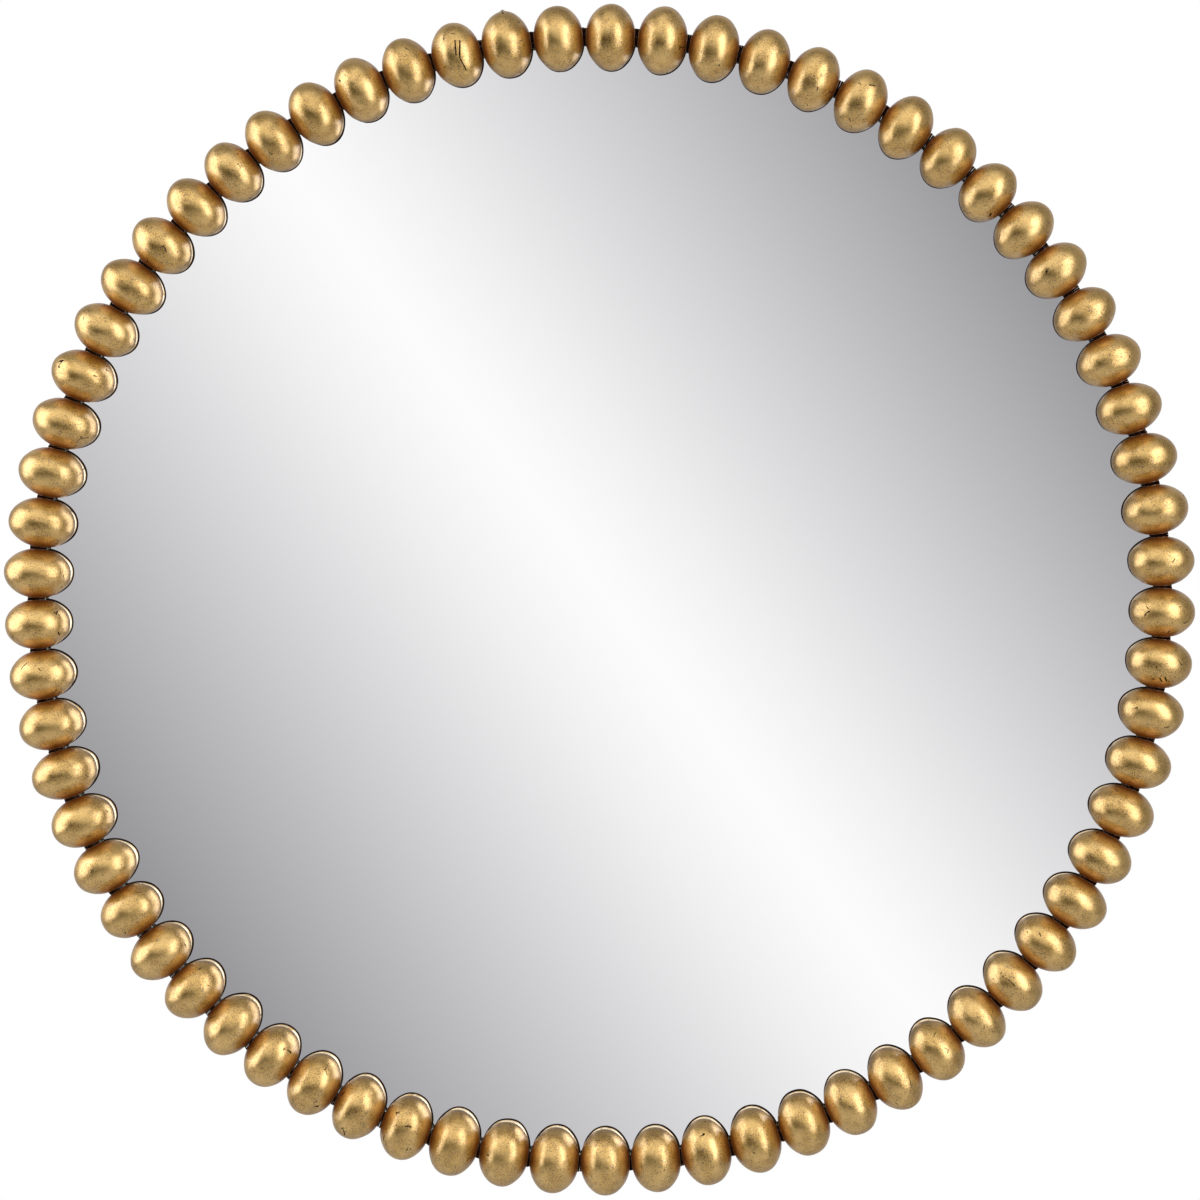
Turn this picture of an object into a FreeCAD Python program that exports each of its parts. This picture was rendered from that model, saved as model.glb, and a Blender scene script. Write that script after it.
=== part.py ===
import FreeCAD, Part
import math
import os
import Sketcher

# Round wall mirror: silvered glass taped to a fibreboard ring, edged with turned wooden beads
# that are threaded on a steel hoop and clipped to the ring from behind.
# Millimetres, +Z up. The glass faces -Y, and the origin is the middle of the back panel's rear face.
# Angles run anticlockwise as the front is seen, from +X.

doc = FreeCAD.newDocument("round_mirror")

driving_sizes = [
    # Ring of beads. The beads of the loose stretch stand apart by loose_slack more than the others.
    ("overall_diameter", 813),
    ("bead_diameter", 45),
    ("bead_count", 69),
    ("beads_per_clip", 3),
    ("bead_flat_radius", 6),
    ("bead_crown_share", 0.8383),
    ("bead_flank_share", 1.3717),
    ("bead_collar", 0.65),
    ("bead_gap", 0.15),
    ("loose_gaps", 18),
    ("loose_slack", 0.73),
    ("start_angle", 4.05),
    ("seat_depth", 12),
    # Hoop through the bores, and the sleeve inside the lowest bead that closes its joint.
    ("rod_diameter", 5),
    ("bore_clearance", 0.4),
    ("rod_end_gap", 2),
    ("sleeve_length", 24),
    ("sleeve_wall", 0.8),
    ("sleeve_clearance", 0.25),
    # Glass and the foam tape behind it.
    ("glass_thickness", 4),
    ("glass_setback", 4),
    ("glass_arris", 0.8),
    ("glass_gap", 2),
    ("tape_thickness", 1),
    ("tape_length", 60),
    ("tape_width", 24),
    ("tape_count", 12),
    # Fibreboard ring and the back panel sunk in its rear.
    ("ring_thickness", 12),
    ("ring_setback", 4),
    ("ring_width", 106),
    ("ring_edge_bevel", 1.5),
    ("panel_thickness", 3),
    ("panel_ledge", 10.5),
    ("panel_clearance", 0.5),
    ("panel_screw_count", 12),
    # Bent clips from the rear of the ring to the flat backs of the beads.
    ("clip_thickness", 1.5),
    ("clip_width", 12),
    ("clip_edge_gap", 1),
    ("clip_rear_length", 20),
    ("clip_front_length", 15.5),
    ("clip_bend_radius", 1),
    # Screws, with the play of their holes on the radius and the board left in front of their points.
    ("screw_diameter", 3.5),
    ("screw_head_diameter", 7),
    ("screw_head_height", 2.2),
    ("panel_screw_diameter", 3),
    ("panel_screw_head_diameter", 6),
    ("panel_screw_head_height", 1.4),
    ("screw_point_length", 2.5),
    ("screw_cover", 1.5),
    ("screw_play", 0.1),
    ("head_play", 0.3),
    # Strap hangers and their D-rings, stored upwards.
    ("hanger_angle", 43),
    ("strap_width", 14),
    ("strap_thickness", 1.2),
    ("strap_length", 36),
    ("strap_corner_radius", 3),
    ("strap_screw_inset", 9),
    ("eye_clearance", 0.08),
    ("d_ring_wire", 3.2),
    ("d_ring_side_play", 1),
    ("d_ring_corner_radius", 4),
    ("d_ring_leg", 2),
    # Rubber bumpers that stand the mirror off the wall.
    ("bumper_diameter", 18),
    ("bumper_face_diameter", 14),
    ("bumper_height", 8),
    ("bumper_rim_height", 2.5),
    ("bumper_spread", 40),
]

worked_sizes = [
    ("bead_radius", "sizes.bead_diameter / 2"),
    ("bead_circle_radius", "sizes.overall_diameter / 2 - bead_radius"),
    ("extra_turn", "atan(sizes.loose_slack / bead_circle_radius) / 1deg"),
    ("tight_pitch", "(360 - sizes.loose_gaps * extra_turn) / sizes.bead_count"),
    # A bead ends in a short collar, so that hardly any light comes through between two beads.
    ("bead_end", "(bead_circle_radius - sizes.bead_flat_radius) * tan(tight_pitch / 2) - sizes.bead_gap / 2"),
    ("bead_half_length", "bead_end - sizes.bead_collar"),
    ("bead_crown_radius", "bead_half_length * sizes.bead_crown_share"),
    ("bead_flank_radius", "bead_half_length * sizes.bead_flank_share"),
    # The straight bores share the bend of the rod evenly between bead middles and bead ends.
    ("rod_circle_radius", "(bead_circle_radius + sqrt(bead_circle_radius ^ 2 + bead_end ^ 2)) / 2"),
    ("bore_radius", "sizes.rod_diameter / 2 + sizes.bore_clearance"),
    ("sleeve_bore_radius", "sizes.rod_diameter / 2 + sizes.sleeve_clearance"),
    ("sleeve_radius", "sleeve_bore_radius + sizes.sleeve_wall"),
    ("closing_bore_radius", "sleeve_radius + sizes.bore_clearance / 2"),
    ("rod_gap_turn", "2 * atan(sizes.rod_end_gap / 2 / rod_circle_radius) / 1deg"),
    # Depths in front of the back panel's rear face.
    ("glass_rear", "sizes.ring_thickness + sizes.tape_thickness"),
    ("glass_front", "glass_rear + sizes.glass_thickness"),
    ("seat_face", "glass_front + sizes.glass_gap"),
    ("bead_axis", "seat_face + sizes.seat_depth"),
    # Radii of the flat layers.
    ("glass_radius", "bead_circle_radius - sizes.glass_setback"),
    ("ring_radius", "glass_radius - sizes.ring_setback"),
    ("ring_bore_radius", "ring_radius - sizes.ring_width"),
    ("rabbet_radius", "ring_bore_radius + sizes.panel_ledge"),
    ("panel_radius", "rabbet_radius - sizes.panel_clearance"),
    ("panel_screw_circle", "ring_bore_radius + sizes.panel_ledge / 2"),
    ("tape_circle", "ring_bore_radius + sizes.ring_width / 2"),
    # Clips.
    ("riser_radius", "glass_radius + sizes.clip_edge_gap"),
    ("clip_rear_radius", "ring_radius - sizes.clip_rear_length"),
    ("clip_front_radius", "riser_radius + sizes.clip_thickness + sizes.clip_front_length"),
    ("clip_screw_circle", "ring_radius - sizes.clip_rear_length / 2"),
    ("bead_screw_circle", "clip_front_radius - sizes.clip_front_length / 2 + sizes.clip_thickness"),
    # Screws, as long as the board in front of them allows.
    ("screw_length", "sizes.ring_thickness + sizes.clip_thickness - sizes.screw_cover"),
    ("screw_hole_radius", "sizes.screw_diameter / 2 + sizes.screw_play"),
    ("panel_hole_radius", "sizes.panel_screw_diameter / 2 + sizes.screw_play"),
    ("head_hole_radius", "sizes.panel_screw_head_diameter / 2 + sizes.head_play"),
    ("head_rest", "sizes.panel_screw_head_height + sizes.head_play"),
    ("panel_screw_length", "sizes.ring_thickness - head_rest - sizes.screw_cover"),
    # Hangers and bumpers share the bare band of the ring between the panel and the clips.
    ("hanger_circle", "(rabbet_radius + clip_rear_radius) / 2"),
    ("hanger_across", "hanger_circle * cos(sizes.hanger_angle)"),
    ("hanger_height", "hanger_circle * sin(sizes.hanger_angle)"),
    ("wire_radius", "sizes.d_ring_wire / 2"),
    ("eye_bore_radius", "wire_radius + sizes.eye_clearance"),
    ("eye_radius", "eye_bore_radius + sizes.strap_thickness"),
    ("bow_radius", "sizes.strap_width / 2 + sizes.d_ring_side_play + sizes.d_ring_corner_radius"),
    ("bow_height", "sizes.d_ring_corner_radius + sizes.d_ring_leg"),
]


def add_sheet(name, rows):
    sheet = doc.addObject("Spreadsheet::Sheet", name)
    for row, (alias, content) in enumerate(rows, start=1):
        sheet.set("A%d" % row, alias)
        sheet.set("B%d" % row, content)
        sheet.setAlias("B%d" % row, alias)
    doc.recompute()
    return sheet


sizes = add_sheet("sizes", [(alias, str(number)) for alias, number in driving_sizes])
worked = add_sheet("worked", [(alias, "=" + formula) for alias, formula in worked_sizes])


def value(expression):
    result = worked.evalExpression(str(expression))
    return float(getattr(result, "Value", result))


def origin_feature(body, role):
    return next(item for item in body.Origin.OriginFeatures if item.Role == role)


def new_body(label):
    body = doc.addObject("PartDesign::Body", label)
    body.Label = label
    return body


def new_sketch(body, plane, lift):
    sketch = body.newObject("Sketcher::SketchObject", body.Name + "_sketch")
    sketch.AttachmentSupport = (origin_feature(body, plane), "")
    sketch.MapMode = "FlatFace"
    if lift:
        sketch.setExpression("AttachmentOffset.Base.z", lift)
    return sketch


def pin_point(sketch, geometry, end, across, up):
    """Ties one point of the sketch to a pair of expressions."""
    for kind, axis, expression in (("DistanceX", -2, across), ("DistanceY", -1, up)):
        if expression == "0":
            sketch.addConstraint(Sketcher.Constraint("PointOnObject", geometry, end, axis))
        else:
            limit = Sketcher.Constraint(kind, -1, 1, geometry, end, value(expression))
            sketch.setExpression("Constraints[%d]" % sketch.addConstraint(limit), expression)


def set_radius(sketch, geometry, expression):
    limit = Sketcher.Constraint("Radius", geometry, value(expression))
    sketch.setExpression("Constraints[%d]" % sketch.addConstraint(limit), expression)


def outline(body, plane, corners, lift=None):
    """Closed straight-sided outline through (across, up) pairs of expressions."""
    sketch = new_sketch(body, plane, lift)
    spots = [FreeCAD.Vector(value(across), value(up), 0) for across, up in corners]
    for start, end in zip(spots, spots[1:] + spots[:1]):
        sketch.addGeometry(Part.LineSegment(start, end), False)
    for side, (across, up) in enumerate(corners):
        sketch.addConstraint(Sketcher.Constraint("Coincident", side, 1, (side - 1) % len(corners), 2))
        pin_point(sketch, side, 1, across, up)
    return sketch


def circles(body, plane, rounds, lift=None):
    """Circles given as (across, up, radius) expressions."""
    sketch = new_sketch(body, plane, lift)
    for across, up, radius in rounds:
        middle = FreeCAD.Vector(value(across), value(up), 0)
        shape = Part.Circle(middle, FreeCAD.Vector(0, 0, 1), value(radius))
        geometry = sketch.addGeometry(shape, False)
        pin_point(sketch, geometry, 3, across, up)
        set_radius(sketch, geometry, radius)
    return sketch


def feature(body, kind, sketch, **expressions):
    """Adds a sketch-based feature and binds its sizes."""
    made = body.newObject("PartDesign::" + kind, body.Name + "_" + kind.lower())
    made.Profile = sketch
    for name, expression in expressions.items():
        made.setExpression(name, str(expression))
    sketch.Visibility = False
    return made


def revolve(body, sketch, turn="360"):
    made = feature(body, "Revolution", sketch, Angle=turn)
    made.ReferenceAxis = (sketch, ["V_Axis"])
    made.Midplane = True
    return made


def pad(body, sketch, length, both_ways=True):
    made = feature(body, "Pad", sketch, Length=length)
    made.Midplane = both_ways
    return made


def pocket(body, sketch, depth=None, backwards=False):
    """Cuts to a depth, or right through both ways when no depth is given."""
    made = feature(body, "Pocket", sketch)
    if depth:
        made.setExpression("Length", depth)
    else:
        made.Type = "ThroughAll"
        made.Midplane = True
    made.Reversed = backwards
    return made


def pattern_round(body, features, count):
    made = body.newObject("PartDesign::PolarPattern", body.Name + "_pattern")
    made.Originals = features
    made.Axis = (origin_feature(body, "Y_Axis"), "")
    made.Angle = 360
    made.setExpression("Occurrences", count)
    body.Tip = made
    return made


def copy_round(source, angle, radius="0", rear="0"):
    """A copy turned about the mirror's axis, moved out to a radius and back by rear."""
    link = doc.addObject("App::Link", source.Name + "_copy")
    link.LinkedObject = source
    link.LinkTransform = True
    link.Placement.Rotation = FreeCAD.Rotation(FreeCAD.Vector(0, -1, 0), 1)
    link.setExpression("Placement.Rotation.Angle", angle)
    link.setExpression("Placement.Base.x", "(%s) * cos(%s)" % (radius, angle))
    link.setExpression("Placement.Base.y", rear)
    link.setExpression("Placement.Base.z", "(%s) * sin(%s)" % (radius, angle))
    return link


def copy_at(source, across, rear, up):
    """An unturned copy moved to a place."""
    link = doc.addObject("App::Link", source.Name + "_copy")
    link.LinkedObject = source
    link.LinkTransform = True
    for side, expression in zip("xyz", (across, rear, up)):
        link.setExpression("Placement.Base." + side, expression)
    return link


sub_parts = []


def sub_part(label, made):
    """Names a finished piece, or a group of like pieces when a list is given."""
    if isinstance(made, list):
        group = doc.addObject("Part::Compound", label)
        group.Links = made
        made = group
    made.Label = label
    sub_parts.append(made)
    return made


# Beads. Each is turned about its own bore, which lies along the ring, and has a flat back.

def bead_angle(bead):
    spread = "min(%d; sizes.loose_gaps) * worked.extra_turn" % bead
    return "sizes.start_angle + %d * worked.tight_pitch + %s" % (bead, spread)


def bead_profile(body, bore_radius):
    """Half section: bore, flat ends, short collars, and two flank arcs tangent to the crown arc."""
    sketch = new_sketch(body, "XZ_Plane", None)
    bore = value(bore_radius)
    end = value("bead_end")
    half = value("bead_half_length")
    flat = value("sizes.bead_flat_radius")
    crown = value("bead_crown_radius")
    flank = value("bead_flank_radius")
    crown_middle = value("bead_radius") - crown
    # The flank's middle is flank - crown away from the crown's middle, and flank away from the rim.
    run = math.hypot(flat - crown_middle, half)
    along = (run ** 2 - flank ** 2 + (flank - crown) ** 2) / (2 * run)
    aside = math.sqrt((flank - crown) ** 2 - along ** 2)
    unit = FreeCAD.Vector((flat - crown_middle) / run, half / run, 0)
    middle = FreeCAD.Vector(crown_middle, 0, 0) + unit * along + FreeCAD.Vector(-unit.y, unit.x, 0) * aside
    meet = math.atan2(-middle.y, crown_middle - middle.x)
    rim = math.atan2(half - middle.y, flat - middle.x)

    upwards = FreeCAD.Vector(0, 0, 1)
    mirrored = FreeCAD.Vector(middle.x, -middle.y, 0)
    corners = [(bore, -end), (bore, end), (flat, end), (flat, half), (flat, -half), (flat, -end)]
    points = [FreeCAD.Vector(x, y, 0) for x, y in corners]
    low_bore, high_bore, high_edge, high_rim, low_rim, low_edge = points
    bore_line, high_end, high_collar, high_flank, crown_arc, low_flank, low_collar, low_end = range(8)
    sketch.addGeometry(Part.LineSegment(low_bore, high_bore), False)
    sketch.addGeometry(Part.LineSegment(high_bore, high_edge), False)
    sketch.addGeometry(Part.LineSegment(high_edge, high_rim), False)
    sketch.addGeometry(Part.ArcOfCircle(Part.Circle(middle, upwards, flank), meet, rim), False)
    crown_circle = Part.Circle(FreeCAD.Vector(crown_middle, 0, 0), upwards, crown)
    sketch.addGeometry(Part.ArcOfCircle(crown_circle, -meet, meet), False)
    sketch.addGeometry(Part.ArcOfCircle(Part.Circle(mirrored, upwards, flank), -rim, -meet), False)
    sketch.addGeometry(Part.LineSegment(low_rim, low_edge), False)
    sketch.addGeometry(Part.LineSegment(low_edge, low_bore), False)

    for kind, first, first_end, second, second_end in (
            ("Coincident", bore_line, 2, high_end, 1),
            ("Coincident", high_end, 2, high_collar, 1),
            ("Coincident", high_collar, 2, high_flank, 2),
            ("Tangent", high_flank, 1, crown_arc, 2),
            ("Tangent", crown_arc, 1, low_flank, 2),
            ("Coincident", low_flank, 1, low_collar, 1),
            ("Coincident", low_collar, 2, low_end, 1),
            ("Coincident", low_end, 2, bore_line, 1)):
        sketch.addConstraint(Sketcher.Constraint(kind, first, first_end, second, second_end))
    pin_point(sketch, bore_line, 1, bore_radius, "-worked.bead_end")
    pin_point(sketch, bore_line, 2, bore_radius, "worked.bead_end")
    pin_point(sketch, high_collar, 1, "sizes.bead_flat_radius", "worked.bead_end")
    pin_point(sketch, high_collar, 2, "sizes.bead_flat_radius", "worked.bead_half_length")
    pin_point(sketch, low_collar, 1, "sizes.bead_flat_radius", "-worked.bead_half_length")
    pin_point(sketch, low_collar, 2, "sizes.bead_flat_radius", "-worked.bead_end")
    pin_point(sketch, crown_arc, 3, "worked.bead_radius - worked.bead_crown_radius", "0")
    set_radius(sketch, crown_arc, "worked.bead_crown_radius")
    for arc in (high_flank, low_flank):
        set_radius(sketch, arc, "worked.bead_flank_radius")
    return sketch


def make_bead(label, bore_radius, screwed):
    body = new_body(label)
    revolve(body, bead_profile(body, bore_radius))
    reach = "2 * worked.bead_radius"
    flat_back = outline(body, "XY_Plane", [("-" + reach, "sizes.seat_depth"), (reach, "sizes.seat_depth"),
                                           (reach, reach), ("-" + reach, reach)])
    pocket(body, flat_back)
    if screwed:
        across = "worked.bead_screw_circle - worked.bead_circle_radius"
        pilot = circles(body, "XZ_Plane", [(across, "0", "worked.screw_hole_radius")], "-sizes.seat_depth")
        pocket(body, pilot, "worked.screw_length - sizes.clip_thickness", backwards=True)
    return body


plain_bead = make_bead("plain_bead", "worked.bore_radius", screwed=False)
clipped_bead = make_bead("clipped_bead", "worked.bore_radius", screwed=True)
closing_bead = make_bead("closing_bead", "worked.closing_bore_radius", screwed=False)

bead_count = int(value("sizes.bead_count"))
per_clip = int(value("sizes.beads_per_clip"))
clip_beads = list(range(per_clip // 2, bead_count, per_clip))
low_beads = [bead for bead in range(bead_count) if bead not in clip_beads]
joint_bead = min(low_beads, key=lambda bead: math.sin(math.radians(value(bead_angle(bead)))))
bead_place = {"radius": "worked.bead_circle_radius", "rear": "-worked.bead_axis"}


def bead_source(bead):
    if bead == joint_bead:
        return closing_bead
    return clipped_bead if bead in clip_beads else plain_bead


for first in range(0, bead_count, per_clip):
    members = range(first, min(first + per_clip, bead_count))
    copies = [copy_round(bead_source(bead), bead_angle(bead), **bead_place) for bead in members]
    sub_part("beads_%02d_%02d" % (members[0] + 1, members[-1] + 1), copies)


# Hoop: an open ring of rod, turned so that its ends meet inside the closing bead.

rod = new_body("rod")
rod_section = circles(rod, "XY_Plane", [("worked.rod_circle_radius", "0", "sizes.rod_diameter / 2")])
revolve(rod, rod_section, "360 - worked.rod_gap_turn")
half_turn = "180 + " + bead_angle(joint_bead)
sub_part("bead_hoop", [copy_round(rod, half_turn, rear="-worked.bead_axis")])

sleeve = new_body("sleeve")
sleeve_rounds = [("0", "0", "worked.sleeve_radius"), ("0", "0", "worked.sleeve_bore_radius")]
pad(sleeve, circles(sleeve, "XY_Plane", sleeve_rounds), "sizes.sleeve_length")
sub_part("hoop_sleeve", [copy_round(sleeve, bead_angle(joint_bead), **bead_place)])


# Glass, a disc with an arris ground on both edges.

glass = new_body("mirror_glass")
arris = "worked.glass_radius - sizes.glass_arris"
revolve(glass, outline(glass, "XY_Plane", [
    ("0", "-worked.glass_rear"), (arris, "-worked.glass_rear"),
    ("worked.glass_radius", "-worked.glass_rear - sizes.glass_arris"),
    ("worked.glass_radius", "-worked.glass_front + sizes.glass_arris"),
    (arris, "-worked.glass_front"), ("0", "-worked.glass_front")]))
sub_part("mirror_glass", glass)

tape = new_body("tape_pad")
half_length = "sizes.tape_length / 2"
inner_side = "worked.tape_circle - sizes.tape_width / 2"
outer_side = "worked.tape_circle + sizes.tape_width / 2"
pad(tape, outline(tape, "XZ_Plane", [
    (inner_side, "-" + half_length), (outer_side, "-" + half_length),
    (outer_side, half_length), (inner_side, half_length)], "sizes.ring_thickness"),
    "sizes.tape_thickness", both_ways=False)
sub_part("glass_tape", [copy_round(tape, "360 * %d / sizes.tape_count" % place)
                        for place in range(int(value("sizes.tape_count")))])


# Screws point forwards, with the underside of the head at their origin.
# The dome and the cross recess of a head are shares of its radius and height.

dome_width, dome_start = 0.7, 0.4
recess_reach, recess_web, recess_depth = 0.5, 0.12, 0.5


def make_screw(label, kind):
    body = new_body(label)
    shank = "sizes.%s_diameter / 2" % kind
    head = "sizes.%s_head_diameter / 2" % kind
    height = "sizes.%s_head_height" % kind
    length = "worked.%s_length" % kind
    revolve(body, outline(body, "XY_Plane", [
        ("0", height), ("%s * %g" % (head, dome_width), height), (head, "%s * %g" % (height, dome_start)),
        (head, "0"), (shank, "0"), (shank, "sizes.screw_point_length - " + length), ("0", "-" + length)]))
    arm = "%s * %g" % (head, recess_reach)
    web = "%s * %g" % (head, recess_web)
    cross = [(arm, web), (web, web), (web, arm)]
    corners = cross + [("-" + across, up) for across, up in reversed(cross)]
    corners += [("-" + across, "-" + up) for across, up in cross]
    corners += [(across, "-" + up) for across, up in reversed(cross)]
    recess = outline(body, "XZ_Plane", corners, "-" + height)
    pocket(body, recess, "%s * %g" % (height, recess_depth), backwards=True)
    return body


screw = make_screw("screw", "screw")
panel_screw = make_screw("panel_screw", "panel_screw")


def drill(label, radius, depth):
    """A cylinder that cuts forwards from its origin."""
    tool = doc.addObject("Part::Cylinder", label)
    tool.Placement.Rotation = FreeCAD.Rotation(FreeCAD.Vector(1, 0, 0), 90)
    tool.setExpression("Radius", radius)
    tool.setExpression("Height", depth)
    return tool


clip_angles = [bead_angle(bead) for bead in clip_beads]
panel_angles = ["360 * %d / sizes.panel_screw_count" % hole
                for hole in range(int(value("sizes.panel_screw_count")))]
hanger_sides = {"left": "-worked.hanger_across", "right": "worked.hanger_across"}
strap_screw_drops = ["sizes.strap_screw_inset", "sizes.strap_length - sizes.strap_screw_inset"]
strap_screw_spots = [(across, "worked.hanger_height - (%s)" % drop)
                     for across in hanger_sides.values() for drop in strap_screw_drops]


# Frame ring: a stepped fibreboard ring, drilled from behind for every screw that goes into it.

ring_blank = new_body("ring_blank")
bevel = "sizes.ring_edge_bevel"
revolve(ring_blank, outline(ring_blank, "XY_Plane", [
    ("worked.ring_bore_radius", "-sizes.ring_thickness"),
    ("worked.ring_radius - " + bevel, "-sizes.ring_thickness"),
    ("worked.ring_radius", bevel + " - sizes.ring_thickness"),
    ("worked.ring_radius", "0"),
    ("worked.rabbet_radius", "0"),
    ("worked.rabbet_radius", "-sizes.panel_thickness"),
    ("worked.ring_bore_radius", "-sizes.panel_thickness")]))
clip_drill = drill("clip_drill", "worked.screw_hole_radius", "worked.screw_length - sizes.clip_thickness")
strap_drill = drill("strap_drill", "worked.screw_hole_radius", "worked.screw_length - sizes.strap_thickness")
panel_drill = drill("panel_drill", "worked.panel_hole_radius", "worked.head_rest + worked.panel_screw_length")
ring_drills = doc.addObject("Part::Compound", "ring_drills")
ring_drills.Links = (
    [copy_round(clip_drill, angle, "worked.clip_screw_circle") for angle in clip_angles]
    + [copy_at(strap_drill, across, "0", up) for across, up in strap_screw_spots]
    + [copy_round(panel_drill, angle, "worked.panel_screw_circle") for angle in panel_angles])
drilled_ring = doc.addObject("Part::Cut", "frame_ring")
drilled_ring.Base = ring_blank
drilled_ring.Tool = ring_drills
sub_part("frame_ring", drilled_ring)


# Back panel, flush with the rear of the ring, with its screw heads sunk below the surface.

panel = new_body("back_panel")
revolve(panel, outline(panel, "XY_Plane", [
    ("0", "0"), ("worked.panel_radius", "0"),
    ("worked.panel_radius", "-sizes.panel_thickness"), ("0", "-sizes.panel_thickness")]))
panel_hole = circles(panel, "XZ_Plane", [("worked.panel_screw_circle", "0", "worked.panel_hole_radius")])
head_recess = circles(panel, "XZ_Plane", [("worked.panel_screw_circle", "0", "worked.head_hole_radius")])
panel_cuts = [pocket(panel, panel_hole), pocket(panel, head_recess, "worked.head_rest", backwards=True)]
pattern_round(panel, panel_cuts, "sizes.panel_screw_count")
sub_part("back_panel", panel)
sub_part("panel_screws", [copy_round(panel_screw, angle, "worked.panel_screw_circle", "-worked.head_rest")
                          for angle in panel_angles])


# Clips: a foot on the rear of the ring, a riser past the edge of the glass, a foot under a bead.

clip = new_body("clip")
gauge = "sizes.clip_thickness"
riser_back = "worked.riser_radius + " + gauge
front_foot = "%s - worked.seat_face" % gauge
clip_outline = outline(clip, "XY_Plane", [
    ("worked.clip_rear_radius", "0"), ("worked.clip_rear_radius", gauge), (riser_back, gauge),
    (riser_back, front_foot), ("worked.clip_front_radius", front_foot),
    ("worked.clip_front_radius", "-worked.seat_face"), ("worked.riser_radius", "-worked.seat_face"),
    ("worked.riser_radius", "0")])
pad(clip, clip_outline, "sizes.clip_width")
clip_holes = [("worked.clip_screw_circle", "0", "worked.screw_hole_radius"),
              ("worked.bead_screw_circle", "0", "worked.screw_hole_radius")]
clip_drilled = pocket(clip, circles(clip, "XZ_Plane", clip_holes))
doc.recompute()


def edges_at(made, spots):
    """Names of the edges whose middles lie at the given places."""
    touching = 1e-4
    middles = [edge.CenterOfMass for edge in made.Shape.Edges]
    return ["Edge%d" % (number + 1) for number, middle in enumerate(middles)
            if any(middle.distanceToPoint(spot) < touching for spot in spots)]


def round_edges(body, made, spots, radius):
    rounded = body.newObject("PartDesign::Fillet", body.Name + "_fillet")
    rounded.Base = (made, edges_at(made, spots))
    rounded.setExpression("Radius", radius)
    doc.recompute()
    return rounded


inner_bends = [FreeCAD.Vector(value("riser_radius"), 0, 0),
               FreeCAD.Vector(value(riser_back), value(front_foot), 0)]
outer_bends = [FreeCAD.Vector(value(riser_back), value(gauge), 0),
               FreeCAD.Vector(value("riser_radius"), -value("seat_face"), 0)]
clip_bent = round_edges(clip, clip_drilled, inner_bends, "sizes.clip_bend_radius")
round_edges(clip, clip_bent, outer_bends, "sizes.clip_bend_radius + " + gauge)
sub_part("bead_clips", [copy_round(clip, angle) for angle in clip_angles])
sub_part("clip_screws", [copy_round(screw, angle, "worked.clip_screw_circle", gauge)
                         for angle in clip_angles])
sub_part("bead_screws", [copy_round(screw, angle, "worked.bead_screw_circle", front_foot)
                         for angle in clip_angles])


# Strap hangers: a flat strap rolled at its top into an eye, which the bar of the D-ring turns in.

strap = new_body("strap")
pad(strap, outline(strap, "YZ_Plane", [
    ("0", "0"), ("0", "-sizes.strap_length"), ("sizes.strap_thickness", "-sizes.strap_length"),
    ("sizes.strap_thickness", "0")]), "sizes.strap_width")
pad(strap, circles(strap, "YZ_Plane", [("worked.eye_radius", "0", "worked.eye_radius")]), "sizes.strap_width")
pocket(strap, circles(strap, "YZ_Plane", [("worked.eye_radius", "0", "worked.eye_bore_radius")]))
strap_holes = [("0", "-(%s)" % drop, "worked.screw_hole_radius") for drop in strap_screw_drops]
strap_drilled = pocket(strap, circles(strap, "XZ_Plane", strap_holes))
doc.recompute()
half_width = value("sizes.strap_width") / 2
half_thickness = value("sizes.strap_thickness") / 2
strap_corners = [FreeCAD.Vector(side, half_thickness, -value("sizes.strap_length"))
                 for side in (-half_width, half_width)]
round_edges(strap, strap_drilled, strap_corners, "sizes.strap_corner_radius")


def d_ring_path(body):
    """Closed loop: the bar, two small corners, two legs and a half-round bow, all tangent."""
    sketch = new_sketch(body, "XZ_Plane", None)
    bow = value("bow_radius")
    corner = value("sizes.d_ring_corner_radius")
    top = value("bow_height")
    flat = bow - corner
    ends = [(0, 0), (flat, 0), (bow, corner), (bow, top), (-bow, top), (-bow, corner), (-flat, 0)]
    start, bar_end, right_foot, right_top, left_top, left_foot, bar_start = [
        FreeCAD.Vector(x, y, 0) for x, y in ends]

    def arc(x, y, radius, first, last):
        circle = Part.Circle(FreeCAD.Vector(x, y, 0), FreeCAD.Vector(0, 0, 1), radius)
        return Part.ArcOfCircle(circle, math.radians(first), math.radians(last))

    for shape in (Part.LineSegment(start, bar_end), arc(flat, corner, corner, -90, 0),
                  Part.LineSegment(right_foot, right_top), arc(0, top, bow, 0, 180),
                  Part.LineSegment(left_top, left_foot), arc(-flat, corner, corner, 180, 270),
                  Part.LineSegment(bar_start, start)):
        sketch.addGeometry(shape, False)
    right_bar, right_corner, right_leg, bow_arc, left_leg, left_corner, left_bar = range(7)
    for piece in range(6):
        sketch.addConstraint(Sketcher.Constraint("Tangent", piece, 2, piece + 1, 1))
    sketch.addConstraint(Sketcher.Constraint("Coincident", left_bar, 2, right_bar, 1))
    sketch.addConstraint(Sketcher.Constraint("Coincident", right_bar, 1, -1, 1))
    for kind, line in (("Horizontal", right_bar), ("Horizontal", left_bar),
                       ("Vertical", right_leg), ("Vertical", left_leg)):
        sketch.addConstraint(Sketcher.Constraint(kind, line))
    pin_point(sketch, bow_arc, 3, "0", "worked.bow_height")
    set_radius(sketch, bow_arc, "worked.bow_radius")
    for corner_arc in (right_corner, left_corner):
        set_radius(sketch, corner_arc, "sizes.d_ring_corner_radius")
    return sketch


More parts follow.
